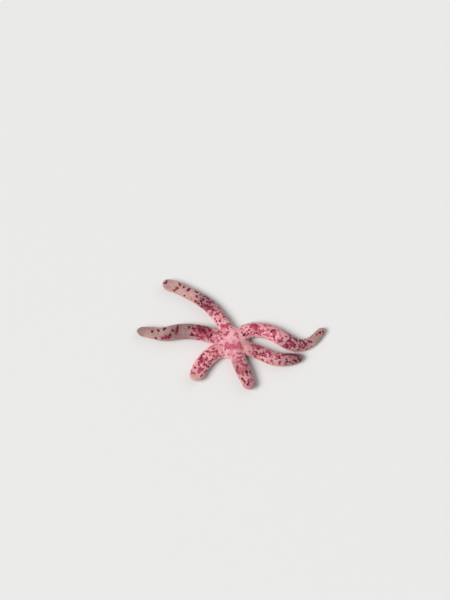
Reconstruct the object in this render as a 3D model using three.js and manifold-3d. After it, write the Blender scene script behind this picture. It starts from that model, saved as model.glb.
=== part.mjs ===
// A six-armed mottled linckia sea star at life size, in millimetres.
// It lies on z = 0 with its mouth down. Arms are named by where they point, seen from above
// with +Y up the page. Each arm is parted into lengths, and all pieces keep a small gap.

import * as THREE from 'three';
import { mergeVertices } from 'three/addons/utils/BufferGeometryUtils.js';
import Module from 'manifold-3d';

const wasm = await Module();
wasm.setup();

const { degToRad, lerp, clamp } = THREE.MathUtils;

const gap = 0.35;             // between neighbouring pieces
const rootLength = 13;        // from the disc's centre to where an arm is parted from the disc
const stepLength = 2.5;       // between cross-sections along an arm
const archPoints = 16;        // of a cross-section, from one edge of the sole over the back
const heightShare = 0.84;     // an arm's height over its width
const coreShare = 0.46;       // height of an arm's widest line over its own height
const furrowWidth = 2.3;      // of the furrow at the sole, on the widest arm
const furrowRoof = 0.9;       // width of the furrow's roof there
const furrowDepth = 1.6;
const widestArm = 9.3;
const tipLift = 1.2;          // how far an arm's tip stands off the floor
const tipLiftLength = 8;

const discRadius = 9.8;
const discHeight = 8.1;
const mouthRadius = 2.7;
const mouthDepth = 2.6;
const madreporite = { radius: 1.1, halfThickness: 0.45, fromCentre: 6.3, bearings: [133, 256] };
const tipPlate = { along: 1, across: 0.95, up: 0.6, inset: 0.85, raise: 0.5 };

// An arm's midline leaves the disc's centre at a heading in degrees from +X. Each bend is a
// length and the angle that the midline turns through along it. Widths are at distances from
// the centre, up to where the round end starts. Cuts are the distances where it is parted.
const arms = [
  {
    name: 'upper_right',
    heading: 39,
    bends: [[6, 6], [11, -49], [14, -33], [7, 14], [8, 46], [8, 27], [6.3, -7]],
    widths: [[0, 9.2], [36, 9.2], [43, 7.4], [49, 6.2], [57, 5.2]],
    roundEnd: 3.3,
    cuts: [29, 45],
  },
  {
    name: 'upper_left',
    heading: 105,
    bends: [[12, 14], [10, 11], [12, 18], [12, 4], [11.2, 26]],
    widths: [[0, 8.6], [14, 8.1], [30, 7.8], [53, 7.6]],
    roundEnd: 4,
    cuts: [28, 43],
  },
  {
    name: 'left',
    heading: 161,
    bends: [[10, -3], [15, 19], [10, 16], [10, -27], [9.7, 19]],
    widths: [[0, 9.3], [34, 9.2], [40, 8.3], [50, 6.6]],
    roundEnd: 4.7,
    cuts: [27, 41],
  },
  {
    name: 'lower_left',
    heading: -144,
    bends: [[9, -9], [12, 31], [10.5, 19]],
    widths: [[0, 9.3], [22, 9.3], [27, 8.6]],
    roundEnd: 4.3,
    cuts: [23],
  },
  {
    name: 'bottom',
    heading: -65,
    bends: [[8, -8], [12, 8], [8.8, -10]],
    widths: [[0, 8.8], [20, 8.7], [25, 7.4]],
    roundEnd: 3.6,
    cuts: [21.5],
  },
  {
    name: 'lower_right',
    heading: -19,
    bends: [[12, -3], [10, -3], [9, 31], [9.8, 1]],
    widths: [[0, 8.4], [28, 8.2], [34, 7.4], [37, 6.4]],
    roundEnd: 3.6,
    cuts: [28],
  },
];

function makeMaterial(color, roughness) {
  return new THREE.MeshStandardMaterial({ color, roughness, metalness: 0 });
}

const skinPink = makeMaterial('#e8a8ac', 0.6);
const skinBeige = makeMaterial('#c8a296', 0.6);
const plateBeige = makeMaterial('#d9bca8', 0.55);
const membraneRose = makeMaterial('#c98a86', 0.5);

// ---- The line and the girth of an arm ----

function lengthOf(arm) {
  return arm.bends.reduce((sum, [length]) => sum + length, 0);
}

function midlineAt(arm, distance) {
  const place = { x: 0, y: 0, heading: degToRad(arm.heading) };
  let left = distance;
  for (const [length, turn] of arm.bends) {
    const run = Math.min(left, length);
    const turned = degToRad(turn) * run / length;
    const chord = turned === 0 ? run : run * Math.sin(turned / 2) / (turned / 2);
    place.x += chord * Math.cos(place.heading + turned / 2);
    place.y += chord * Math.sin(place.heading + turned / 2);
    place.heading += turned;
    left -= run;
  }
  return place;
}

function widthAt(arm, distance) {
  const stations = arm.widths;
  for (let i = 1; i < stations.length; i++) {
    const [fromDistance, fromWidth] = stations[i - 1];
    const [toDistance, toWidth] = stations[i];
    if (distance <= toDistance) {
      return lerp(fromWidth, toWidth, (distance - fromDistance) / (toDistance - fromDistance));
    }
  }
  return stations[stations.length - 1][1];
}

// How much of its girth the arm keeps: all of it, then less along the quarter-round end
function endShare(arm, distance) {
  const into = (distance - lengthOf(arm) + arm.roundEnd) / arm.roundEnd;
  return into <= 0 ? 1 : Math.sqrt(Math.max(0, 1 - into * into));
}

function liftAt(arm, distance) {
  const along = clamp((distance - lengthOf(arm) + tipLiftLength) / tipLiftLength, 0, 1);
  return tipLift * along * along;
}

function coreHeight(arm, distance) {
  return widthAt(arm, distance) * heightShare * coreShare;
}

// ---- Cross-sections, as [across, up] points turning from the left side over the back ----

// An arch that is widest at the core's height and stands on a sole at z = 0
function archSection(halfWidth, height) {
  const soleAngle = Math.asin(coreShare / (1 - coreShare));
  const points = [];
  for (let i = 0; i < archPoints; i++) {
    const angle = lerp(-soleAngle, Math.PI + soleAngle, i / (archPoints - 1));
    const up = coreShare + (1 - coreShare) * Math.sin(angle);
    points.push([halfWidth * Math.cos(angle), height * up]);
  }
  return points;
}

function bodySection(arm, distance, hasFurrow) {
  const width = widthAt(arm, distance);
  const size = width / widestArm;
  const lip = furrowWidth / 2 * size;
  const roof = furrowRoof / 2 * size;
  const depth = hasFurrow ? furrowDepth * size : 0;
  const core = coreHeight(arm, distance);
  const share = endShare(arm, distance);
  const lift = liftAt(arm, distance);
  const points = [
    ...archSection(width / 2, width * heightShare),
    [-lip, 0], [-roof, depth], [roof, depth], [lip, 0],
  ];
  return points.map(([across, up]) => [across * share, core + (up - core) * share + lift]);
}

// The furrow as a bar to cut away, which starts below the sole
function furrowSection(arm, distance) {
  const size = widthAt(arm, distance) / widestArm;
  const lip = furrowWidth / 2 * size;
  const roof = furrowRoof / 2 * size;
  const depth = furrowDepth * size;
  const below = 1;
  const foot = lip + (lip - roof) / depth * below;
  return [[roof, depth], [-roof, depth], [-foot, -below], [foot, -below]];
}

// ---- Solids ----

// Bends a cylinder along an arm's midline, so that each ring of it takes a cross-section
function loft(arm, distances, sectionAt, centreAt) {
  const steps = distances.length - 1;
  const sides = sectionAt(arm, distances[0]).length;
  const geometry = new THREE.CylinderGeometry(1, 1, steps, sides, steps);
  geometry.deleteAttribute('normal');
  geometry.deleteAttribute('uv');
  const position = geometry.attributes.position;
  for (let i = 0; i < position.count; i++) {
    const distance = distances[Math.round(position.getY(i) + steps / 2)];
    const isCentre = Math.hypot(position.getX(i), position.getZ(i)) < 0.5;
    const turn = Math.atan2(position.getX(i), position.getZ(i)) / (2 * Math.PI);
    const corner = Math.round(turn * sides + sides) % sides;
    const [across, up] = isCentre ? [0, centreAt(arm, distance)] : sectionAt(arm, distance)[corner];
    const { x, y, heading } = midlineAt(arm, distance);
    position.setXYZ(i, x - across * Math.sin(heading), y + across * Math.cos(heading), up);
  }
  return mergeVertices(geometry);
}

function evenSteps(from, to) {
  const count = Math.max(2, Math.round((to - from) / stepLength));
  return Array.from({ length: count + 1 }, (_, i) => lerp(from, to, i / count));
}

// Even steps, then closer ones round the end, up to a small blunt face
function tipSteps(arm, from) {
  const roundStart = lengthOf(arm) - arm.roundEnd;
  const anglesRoundEnd = [20, 38, 54, 68];
  return [
    ...evenSteps(from, roundStart),
    ...anglesRoundEnd.map((angle) => roundStart + arm.roundEnd * Math.sin(degToRad(angle))),
  ];
}

function bodyCentre(arm, distance) {
  return coreHeight(arm, distance) + liftAt(arm, distance);
}

function armLength(arm, distances, hasFurrow = true) {
  const section = (owner, distance) => bodySection(owner, distance, hasFurrow);
  return loft(arm, distances, section, bodyCentre);
}

function furrowBar(arm) {
  return loft(arm, evenSteps(0.5, rootLength + 1), furrowSection, () => 0);
}

function toSolid(geometry) {
  const bare = geometry.clone();
  bare.deleteAttribute('normal');
  bare.deleteAttribute('uv');
  const merged = mergeVertices(bare);
  return new wasm.Manifold(new wasm.Mesh({
    numProp: 3,
    vertProperties: new Float32Array(merged.attributes.position.array),
    triVerts: new Uint32Array(merged.index.array),
  }));
}

function toGeometry(solid) {
  const mesh = solid.getMesh();
  const geometry = new THREE.BufferGeometry();
  geometry.setAttribute('position', new THREE.BufferAttribute(new Float32Array(mesh.vertProperties), 3));
  geometry.setIndex(new THREE.BufferAttribute(new Uint32Array(mesh.triVerts), 1));
  return geometry;
}

function ellipsoid(along, across, up) {
  return new THREE.SphereGeometry(1, 12, 6).rotateX(Math.PI / 2).scale(along, across, up);
}

function makeMesh(name, geometry, material) {
  const mesh = new THREE.Mesh(geometry, material);
  mesh.name = name;
  return mesh;
}

// ---- The disc, with the roots of the arms ----

function discDome() {
  const soleAngle = Math.asin(coreShare / (1 - coreShare));
  const rings = 8;
  const profile = [new THREE.Vector2(0, 0)];
  for (let i = 0; i < rings; i++) {
    const angle = lerp(-soleAngle, Math.PI / 2, i / rings);
    const up = coreShare + (1 - coreShare) * Math.sin(angle);
    profile.push(new THREE.Vector2(discRadius * Math.cos(angle), discHeight * up));
  }
  profile.push(new THREE.Vector2(0, discHeight));
  return new THREE.LatheGeometry(profile, 24).rotateX(Math.PI / 2);
}

// A madreporite lies on the dome's slope between two arms
function placeMadreporite(mesh, bearing) {
  const slopeAngle = Math.acos(madreporite.fromCentre / discRadius);
  const up = discHeight * (coreShare + (1 - coreShare) * Math.sin(slopeAngle));
  const tilt = Math.atan(discHeight * (1 - coreShare) / Math.tan(slopeAngle) / discRadius);
  const angle = degToRad(bearing);
  mesh.position.set(
    madreporite.fromCentre * Math.cos(angle),
    madreporite.fromCentre * Math.sin(angle),
    up - 0.15,
  );
  mesh.rotation.set(0, tilt, angle, 'ZYX');
  mesh.updateMatrix();
  return mesh;
}

function madreporitePlate(grow) {
  const radius = madreporite.radius + grow;
  return ellipsoid(radius, radius, madreporite.halfThickness + grow);
}

function makeDisc() {
  let disc = toSolid(discDome());
  for (const arm of arms) {
    disc = disc.add(toSolid(armLength(arm, evenSteps(0, rootLength - gap), false)));
  }
  for (const arm of arms) {
    disc = disc.subtract(toSolid(furrowBar(arm)));
  }
  const mouth = new THREE.CylinderGeometry(mouthRadius * 0.8, mouthRadius * 1.1, mouthDepth + 1, 24);
  mouth.rotateX(Math.PI / 2).translate(0, 0, (mouthDepth - 1) / 2);
  disc = disc.subtract(toSolid(mouth));
  for (const bearing of madreporite.bearings) {
    const socket = placeMadreporite(new THREE.Mesh(madreporitePlate(gap)), bearing);
    disc = disc.subtract(toSolid(socket.geometry.clone().applyMatrix4(socket.matrix)));
  }
  return makeMesh('disc', toGeometry(disc), skinPink);
}

// The skin round the mouth, near the roof of the pit
function makePeristome() {
  const radius = mouthRadius * 0.8 - gap / 2;
  const geometry = new THREE.CylinderGeometry(radius * 0.86, radius, 0.8, 20);
  const mesh = makeMesh('peristome', geometry, membraneRose);
  mesh.rotation.x = Math.PI / 2;
  mesh.position.z = mouthDepth - gap - 0.4;
  return mesh;
}

function makeMadreporites() {
  return madreporite.bearings.map((bearing, i) => {
    const mesh = makeMesh(`madreporite_${i + 1}`, madreporitePlate(0), plateBeige);
    return placeMadreporite(mesh, bearing);
  });
}

// ---- The arms ----

function placeTipPlate(mesh, arm) {
  const distance = lengthOf(arm) - tipPlate.inset;
  const { x, y, heading } = midlineAt(arm, distance);
  mesh.position.set(x, y, bodyCentre(arm, distance) + tipPlate.raise);
  mesh.rotation.z = heading;
  mesh.updateMatrix();
  return mesh;
}

function tipPlateGeometry(grow) {
  return ellipsoid(tipPlate.along + grow, tipPlate.across + grow, tipPlate.up + grow);
}

function makeTip(arm, from) {
  const socket = placeTipPlate(new THREE.Mesh(tipPlateGeometry(gap)), arm);
  const body = toSolid(armLength(arm, tipSteps(arm, from)));
  return toGeometry(body.subtract(toSolid(socket.geometry.clone().applyMatrix4(socket.matrix))));
}

function makeArm(arm) {
  const starts = [rootLength, ...arm.cuts];
  const labels = starts.length === 3 ? ['base', 'middle', 'tip'] : ['base', 'tip'];
  const meshes = starts.map((start, i) => {
    const isTip = i === starts.length - 1;
    const geometry = isTip
      ? makeTip(arm, start)
      : armLength(arm, evenSteps(start, starts[i + 1] - gap));
    return makeMesh(`arm_${arm.name}_${labels[i]}`, geometry, isTip ? skinBeige : skinPink);
  });
  const plate = makeMesh(`terminal_plate_${arm.name}`, tipPlateGeometry(0), plateBeige);
  return [...meshes, placeTipPlate(plate, arm)];
}

// ---- The sea star, with the middle of its box over the origin ----

const star = new THREE.Group();
star.add(makeDisc(), makePeristome(), ...makeMadreporites(), ...arms.flatMap(makeArm));

const box = new THREE.Box3().setFromObject(star);
star.position.set(-(box.min.x + box.max.x) / 2, -(box.min.y + box.max.y) / 2, -box.min.z);

export default star;
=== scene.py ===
import math
import random

import bpy
import numpy as np
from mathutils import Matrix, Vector
from mathutils.bvhtree import BVHTree
from mathutils.kdtree import KDTree


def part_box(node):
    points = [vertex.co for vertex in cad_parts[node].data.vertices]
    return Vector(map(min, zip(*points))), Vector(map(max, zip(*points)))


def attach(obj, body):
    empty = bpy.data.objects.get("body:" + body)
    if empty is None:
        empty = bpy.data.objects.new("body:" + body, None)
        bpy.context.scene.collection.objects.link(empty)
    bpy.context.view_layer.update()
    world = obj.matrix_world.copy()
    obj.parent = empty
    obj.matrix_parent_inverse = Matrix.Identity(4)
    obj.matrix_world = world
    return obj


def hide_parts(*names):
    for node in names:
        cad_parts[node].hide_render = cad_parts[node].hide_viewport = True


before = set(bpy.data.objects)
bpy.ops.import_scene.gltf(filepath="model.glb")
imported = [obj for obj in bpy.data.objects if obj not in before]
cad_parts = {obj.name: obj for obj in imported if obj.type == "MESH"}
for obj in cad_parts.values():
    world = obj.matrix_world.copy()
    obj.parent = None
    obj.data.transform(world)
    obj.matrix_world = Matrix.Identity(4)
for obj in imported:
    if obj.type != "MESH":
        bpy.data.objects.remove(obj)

# A six-armed mottled linckia sea star, lying mouth down. Sizes are in millimetres and are
# turned to metres with mm. Arms are named by where they point, seen from above.

mm = 0.001
down = Vector((0, 0, -1))
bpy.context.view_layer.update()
low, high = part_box("peristome")
discCentre = Vector(((low.x + high.x) / 2, (low.y + high.y) / 2, 0))
dice = random.Random(11)
bpy.context.tool_settings.mesh_select_mode = (True, False, False)
print("frame loaded, disc's centre at", tuple(round(v / mm, 2) for v in discCentre))


# Helpers for working on one piece at a time

def focus(piece):
    bpy.ops.object.select_all(action="DESELECT")
    piece.select_set(True)
    bpy.context.view_layer.objects.active = piece


def startEdit(piece, action="SELECT"):
    focus(piece)
    bpy.ops.object.mode_set(mode="EDIT")
    bpy.ops.mesh.select_all(action=action)


def endEdit():
    bpy.ops.object.mode_set(mode="OBJECT")


def moveVertices(piece, isMoved, shift):
    # moves those vertices whose place passes
    startEdit(piece, "DESELECT")
    endEdit()
    for vertex in piece.data.vertices:
        vertex.select = isMoved(vertex.co)
    bpy.ops.object.mode_set(mode="EDIT")
    bpy.ops.transform.translate(value=shift)
    endEdit()


def shapeBy(piece, kind, **settings):
    focus(piece)
    bpy.ops.object.modifier_add(type=kind)
    modifier = piece.modifiers[-1]
    for name, value in settings.items():
        setattr(modifier, name, value)
    bpy.ops.object.modifier_apply(modifier=modifier.name)


def settle(piece):
    # puts the object's place into its mesh
    focus(piece)
    bpy.ops.object.transform_apply(location=True, rotation=True, scale=True)


def smoothAndPaint(piece, material):
    focus(piece)
    bpy.ops.object.shade_smooth()
    piece.data.materials.clear()
    piece.data.materials.append(material)


def addPiece(name, mesh):
    piece = bpy.data.objects.new(name, mesh)
    bpy.context.scene.collection.objects.link(piece)
    return piece


def joinAll(pieces, name):
    focus(pieces[0])
    for piece in pieces:
        piece.select_set(True)
    bpy.ops.object.join()
    pieces[0].name = name
    pieces[0].data.name = name
    return pieces[0]


def copyNode(node):
    # a copy of a solid's mesh with its loose triangles merged
    piece = addPiece(node + "_flesh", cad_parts[node].data.copy())
    piece.data.materials.clear()
    startEdit(piece)
    bpy.ops.mesh.remove_doubles(threshold=0.001 * mm)
    endEdit()
    return piece


def middleOf(node):
    return sum(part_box(node), Vector()) / 2


def readAll(items, name, width=1, kind=float):
    # what a mesh's vertices, corners or faces hold, number after number
    values = np.zeros(len(items) * width, kind)
    items.foreach_get(name, values)
    return values


def storeReading(mesh, name, values):
    # keeps a vector or a number for each vertex, whole for the kind of design
    values = np.array(values, np.int32 if name == "kind" else np.float32)
    isVector = values.ndim > 1
    kind = "FLOAT_VECTOR" if isVector else "INT" if name == "kind" else "FLOAT"
    attribute = mesh.attributes.new(name, kind, "POINT")
    attribute.data.foreach_set("vector" if isVector else "value", values.ravel())


def ramp(values, start, end):
    # 0 at the start, 1 at the end, and level past both
    return np.clip((values - start) / (end - start), 0, 1)


def addNode(tree, kind, inputs=None, **settings):
    node = tree.nodes.new(kind)
    for name, value in settings.items():
        setattr(node, name, value)
    for name, value in (inputs or {}).items():
        if isinstance(value, bpy.types.NodeSocket):
            tree.links.new(value, node.inputs[name])
        else:
            node.inputs[name].default_value = value
    return node


def reshape(tree, value, fromMin, fromMax, toMin=0, toMax=1, kind="LINEAR"):
    inputs = {"Value": value, "From Min": fromMin, "From Max": fromMax,
              "To Min": toMin, "To Max": toMax}
    return addNode(tree, "ShaderNodeMapRange", inputs, interpolation_type=kind).outputs["Result"]


# Camera, floor and lights

studio = {
    "eye": (-3.89, -120.44, 335.6),  # from the disc's centre
    "aim": (-3.89, 27.58, 0),
    "lens": 38,
    "nearest": 10,  # that the camera sees
    "floorSide": 4000,
    "floorColour": (0.66, 0.655, 0.64, 1),
    "floorRoughness": 0.85,
    "lamps": {  # where each shines from, its softness in degrees and its strength
        "key": ((-400, -210, 560), 32, 3.35),
        "fill": ((420, 330, 420), 60, 0.55),
    },
    "skyColour": (0.95, 0.97, 1, 1),
    "skyStrength": 0.32,
    "backdropStrength": 0.82,  # of the sky where the camera sees it past the floor
}


def fromCentre(x, y, z):
    return discCentre + Vector((x, y, z)) * mm


def aimAt(thing, target):
    thing.rotation_euler = (target - thing.location).to_track_quat("-Z", "Y").to_euler()


def makeCamera():
    bpy.ops.object.camera_add(location=fromCentre(*studio["eye"]))
    camera = bpy.context.object
    camera.data.lens = studio["lens"]
    camera.data.clip_start = studio["nearest"] * mm
    aimAt(camera, fromCentre(*studio["aim"]))
    bpy.context.scene.camera = camera


def makeFloor():
    bpy.ops.mesh.primitive_plane_add(size=studio["floorSide"] * mm)
    floor = bpy.context.object
    floor.name = "floor"
    paint = bpy.data.materials.new("paleFloor")
    paint.use_nodes = True
    shader = paint.node_tree.nodes["Principled BSDF"]
    shader.inputs["Base Color"].default_value = studio["floorColour"]
    shader.inputs["Roughness"].default_value = studio["floorRoughness"]
    floor.data.materials.append(paint)


def makeLamps():
    for name, (place, softness, strength) in studio["lamps"].items():
        bpy.ops.object.light_add(type="SUN", location=fromCentre(*place))
        lamp = bpy.context.object
        lamp.name = name + "Light"
        lamp.data.angle = math.radians(softness)
        lamp.data.energy = strength
        aimAt(lamp, discCentre)


def makeSky():
    world = bpy.data.worlds.new("paleSky")
    world.use_nodes = True
    tree = world.node_tree
    sky = tree.nodes["Background"]
    sky.inputs["Color"].default_value = studio["skyColour"]
    isSeen = addNode(tree, "ShaderNodeLightPath").outputs["Is Camera Ray"]
    strength = reshape(tree, isSeen, 0, 1, studio["skyStrength"], studio["backdropStrength"])
    tree.links.new(strength, sky.inputs["Strength"])
    bpy.context.scene.world = world
    bpy.context.scene.view_settings.view_transform = "Standard"


makeCamera()
makeFloor()
makeLamps()
makeSky()
print("camera, floor and lights set")


# The arms' lines, as the solids have them. A bend is a length and the degrees it turns through,
# a width is at a distance from the disc's centre, and cuts part the arm into its solids.

body = {
    "gap": 0.35,
    "rootLength": 13,
    "heightShare": 0.84,
    "coreShare": 0.46,
    "furrowWidth": 2.3,
    "furrowDepth": 1.6,
    "widestArm": 9.3,
    "tipLift": 1.2,
    "tipLiftLength": 8,
    "discHeight": 8.1,
    "mouthRadius": 2.7,
}
arms = {
    "upper_right": {
        "heading": 39,
        "bends": [(6, 6), (11, -49), (14, -33), (7, 14), (8, 46), (8, 27), (6.3, -7)],
        "widths": [(0, 9.2), (36, 9.2), (43, 7.4), (49, 6.2), (57, 5.2)],
        "cuts": [29, 45],
    },
    "upper_left": {
        "heading": 105,
        "bends": [(12, 14), (10, 11), (12, 18), (12, 4), (11.2, 26)],
        "widths": [(0, 8.6), (14, 8.1), (30, 7.8), (53, 7.6)],
        "cuts": [28, 43],
    },
    "left": {
        "heading": 161,
        "bends": [(10, -3), (15, 19), (10, 16), (10, -27), (9.7, 19)],
        "widths": [(0, 9.3), (34, 9.2), (40, 8.3), (50, 6.6)],
        "cuts": [27, 41],
    },
    "lower_left": {
        "heading": -144,
        "bends": [(9, -9), (12, 31), (10.5, 19)],
        "widths": [(0, 9.3), (22, 9.3), (27, 8.6)],
        "cuts": [23],
    },
    "bottom": {
        "heading": -65,
        "bends": [(8, -8), (12, 8), (8.8, -10)],
        "widths": [(0, 8.8), (20, 8.7), (25, 7.4)],
        "cuts": [21.5],
    },
    "lower_right": {
        "heading": -19,
        "bends": [(12, -3), (10, -3), (9, 31), (9.8, 1)],
        "widths": [(0, 8.4), (28, 8.2), (34, 7.4), (37, 6.4)],
        "cuts": [28],
    },
}
armNames = list(arms)


def lengthOf(arm):
    return sum(length for length, turn in arm["bends"])


def midlineAt(arm, distance):
    x, y, heading = 0.0, 0.0, math.radians(arm["heading"])
    left = distance
    for length, turn in arm["bends"]:
        run = min(left, length)
        turned = math.radians(turn) * run / length
        chord = run * math.sin(turned / 2) / (turned / 2) if turned else run
        x += chord * math.cos(heading + turned / 2)
        y += chord * math.sin(heading + turned / 2)
        heading += turned
        left -= run
    return x, y, heading


def widthAt(arm, distance):
    return float(np.interp(distance, *zip(*arm["widths"])))


def girthAt(arm, distance):
    # the arm's width as a share of the widest arm's
    return widthAt(arm, distance) / body["widestArm"]


def liftAt(arm, distance):
    # the midline's height over the floor, which rises at the tip
    share = (distance - lengthOf(arm) + body["tipLiftLength"]) / body["tipLiftLength"]
    return body["tipLift"] * min(max(share, 0), 1) ** 2


def coreAt(arm, distance):
    # height of the arm's widest line
    return widthAt(arm, distance) * body["heightShare"] * body["coreShare"] + liftAt(arm, distance)


def armPoint(arm, along, across, height):
    # across is to the left of the arm's heading
    x, y, heading = midlineAt(arm, along)
    return fromCentre(x - across * math.sin(heading), y + across * math.cos(heading), height)


def headingAt(arm, distance):
    heading = midlineAt(arm, distance)[2]
    return Vector((math.cos(heading), math.sin(heading), 0))


def leftAt(arm, distance):
    return headingAt(arm, distance).cross(down)


# The skin: the solids of flesh welded into one, softened, and drawn in to leave room for plates

skinShape = {
    "overlap": 0.2,  # of neighbouring lengths, before they are welded
    "capDepth": 0.02,  # how near to a length's cut its end's corners lie
    "capHeight": 0.4,  # of the arm's width, the height of the cut's middle
    "plugScale": 1.45,  # of the flesh under a plate, over the plate
    "plugSink": 0.35,
    "plugDip": 0.3,  # how steeply the flesh under a tip's plate is sunk
    "sieveCore": 0.1,  # of the disc's height, where the sieve plates' plugs point to
    "voxel": 0.32,
    "softness": 12,  # rounds of smoothing
    "plateDepth": 0.2,  # how far the skin lies inside the solids
    "unevenness": 0.24,
    "unevenSize": 7,
}


def pullCap(piece, arm, distance):
    # draws the cut face at the start of a length into its neighbour
    reach = widthAt(arm, distance)
    start = armPoint(arm, distance, 0, reach * skinShape["capHeight"])
    along = headingAt(arm, distance)
    moveVertices(piece, lambda place: abs((place - start).dot(along)) < skinShape["capDepth"] * mm
                 and (place - start).length < reach * mm,
                 -along * (body["gap"] + skinShape["overlap"]) * mm)


def fillSocket(node, inward):
    # flesh in the socket of a plate, so that the skin runs on under it
    plug = copyNode(node)
    startEdit(plug)
    scale = skinShape["plugScale"]
    bpy.ops.transform.resize(value=(scale, scale, scale), center_override=middleOf(node))
    bpy.ops.transform.translate(value=inward * skinShape["plugSink"] * mm)
    endEdit()
    return plug


def copyFlesh():
    # the solids of flesh with the plugs between them, and the names of their nodes
    pieces, nodes = [copyNode("disc")], ["disc"]
    for name, arm in arms.items():
        starts = [body["rootLength"], *arm["cuts"]]
        labels = ["base", "middle", "tip"] if len(starts) == 3 else ["base", "tip"]
        for start, label in zip(starts, labels):
            nodes.append(f"arm_{name}_{label}")
            pieces.append(copyNode(nodes[-1]))
            pullCap(pieces[-1], arm, start)
        inward = -headingAt(arm, lengthOf(arm)) - Vector((0, 0, skinShape["plugDip"]))
        pieces.append(fillSocket("terminal_plate_" + name, inward))
    core = fromCentre(0, 0, body["discHeight"] * skinShape["sieveCore"])
    for node in ("madreporite_1", "madreporite_2"):
        pieces.append(fillSocket(node, -(middleOf(node) - core).normalized()))
    return pieces, nodes


def makeSkin():
    pieces, nodes = copyFlesh()
    skin = joinAll(pieces, "skin")
    shapeBy(skin, "REMESH", mode="VOXEL", voxel_size=skinShape["voxel"] * mm)
    shapeBy(skin, "SMOOTH", factor=0.5, iterations=skinShape["softness"])
    clouds = bpy.data.textures.new("broadLumps", "CLOUDS")
    clouds.noise_scale = skinShape["unevenSize"] * mm
    shapeBy(skin, "DISPLACE", texture=clouds, texture_coords="LOCAL", mid_level=1,
            strength=skinShape["unevenness"] * mm)
    shapeBy(skin, "DISPLACE", mid_level=0, strength=-skinShape["plateDepth"] * mm)
    return skin, nodes


skin, skinNodes = makeSkin()
print("skin made,", len(skin.data.polygons), "faces")


# Reading a place on the body: which arm it is on, how far along it and to which side

sampleStep = 0.25
samples = [(index, i * sampleStep, midlineAt(arm, i * sampleStep))
           for index, arm in enumerate(arms.values())
           for i in range(int(lengthOf(arm) / sampleStep) + 1)]
sampleTree = KDTree(len(samples))
for i, (index, along, (x, y, heading)) in enumerate(samples):
    sampleTree.insert((x, y, 0), i)
sampleTree.balance()


def readPlaces(points):
    # points are in metres; the answers are in millimetres, one array for each reading
    flat = (np.asarray(points, float).reshape(-1, 3) - np.array(discCentre)) / mm
    near = [sampleTree.find((x, y, 0))[1] for x, y, z in flat]
    arm = np.array([samples[i][0] for i in near])
    along = np.array([samples[i][1] for i in near])
    x, y, heading = np.array([samples[i][2] for i in near]).T
    across = -(flat[:, 0] - x) * np.sin(heading) + (flat[:, 1] - y) * np.cos(heading)
    core = np.array([coreAt(arms[armNames[a]], s) for a, s in zip(arm, along)])
    return {"arm": arm, "along": along, "across": across, "x": flat[:, 0], "y": flat[:, 1],
            "z": flat[:, 2], "up": flat[:, 2] - core, "reach": np.hypot(flat[:, 0], flat[:, 1])}


# The skin's unwrap, in millimetres on a square sheet. Each arm is a strip that is cut open along
# its furrow, and the disc's upper and lower sides are rounds.

sheet = {
    "side": 124,
    "discReach": 12.2,
    "stripStart": 10,
    "girthRadius": 4,
    "mouthReach": 1.15,  # of the mouth's radius, where its wall is drawn in on the sheet
    "mouthDepth": 10,
    "places": {
        "upper_right": (1, 14), "upper_left": (53, 14), "bottom": (102, 14),
        "left": (1, 42), "lower_right": (47.5, 42), "lower_left": (80, 42),
        "discTop": (18, 74), "discSole": (54, 74),
    },
}


def unwrapArms(corner, centre):
    starts = np.array([sheet["places"][name] for name in armNames])[centre["arm"]]
    girth = np.arctan2(corner["across"], corner["up"])
    faceGirth = np.arctan2(centre["across"], centre["up"])
    girth += 2 * np.pi * np.round((faceGirth - girth) / (2 * np.pi))
    return np.column_stack([starts[:, 0] + corner["along"] - sheet["stripStart"],
                            starts[:, 1] + girth * sheet["girthRadius"]])


def unwrapDisc(corner, centre):
    isTop = centre["z"] > body["discHeight"] * body["coreShare"]
    isMouth = centre["reach"] < body["mouthRadius"] * sheet["mouthReach"]
    fall = np.where(isTop, body["discHeight"] - corner["z"], corner["z"])
    drawnIn = corner["reach"] * (1 - corner["z"] / sheet["mouthDepth"])
    spread = np.where(isMouth & ~isTop, drawnIn, corner["reach"] + fall)
    turn = np.arctan2(corner["y"], corner["x"])
    middle = np.where(isTop[:, None], sheet["places"]["discTop"], sheet["places"]["discSole"])
    return middle + np.column_stack([spread * np.cos(turn), spread * np.sin(turn)])


def unwrap(corner, centre):
    # corner and centre are readings of the same length, at a face's corners and at its middle
    onDisc = centre["reach"][:, None] < sheet["discReach"]
    return np.where(onDisc, unwrapDisc(corner, centre), unwrapArms(corner, centre)) / sheet["side"]


def unwrapSkin():
    mesh = skin.data
    corners = readAll(mesh.loops, "vertex_index", kind=int)
    faces = np.repeat(np.arange(len(mesh.polygons)), readAll(mesh.polygons, "loop_total", kind=int))
    atVertices = readPlaces(readAll(mesh.vertices, "co", 3))
    atFaces = readPlaces(readAll(mesh.polygons, "center", 3))
    atCorners = {name: values[corners] for name, values in atVertices.items()}
    atCentres = {name: values[faces] for name, values in atFaces.items()}
    layer = mesh.uv_layers.new(name="OFBake")
    layer.uv.foreach_set("vector", unwrap(atCorners, atCentres).ravel())


unwrapSkin()
surface = BVHTree.FromObject(skin, bpy.context.evaluated_depsgraph_get())
print("skin unwrapped")


def castOut(arm, along, angle):
    # the skin's place and normal in a direction from the arm's core, 0 degrees being straight up
    origin = armPoint(arm, along, 0, coreAt(arm, along))
    direction = leftAt(arm, along) * math.sin(math.radians(angle)) - down * math.cos(math.radians(angle))
    place, normal, face, distance = surface.ray_cast(origin, direction)
    if place is None or distance > widthAt(arm, along) * 0.7 * mm:
        return None, None  # past this arm's own side
    return place, normal


def castSole(arm, along, across):
    # the skin's place and normal under a point of the arm's flesh
    origin = armPoint(arm, along, across, liftAt(arm, along) + body["furrowDepth"])
    return surface.ray_cast(origin, down)[:2]


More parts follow.
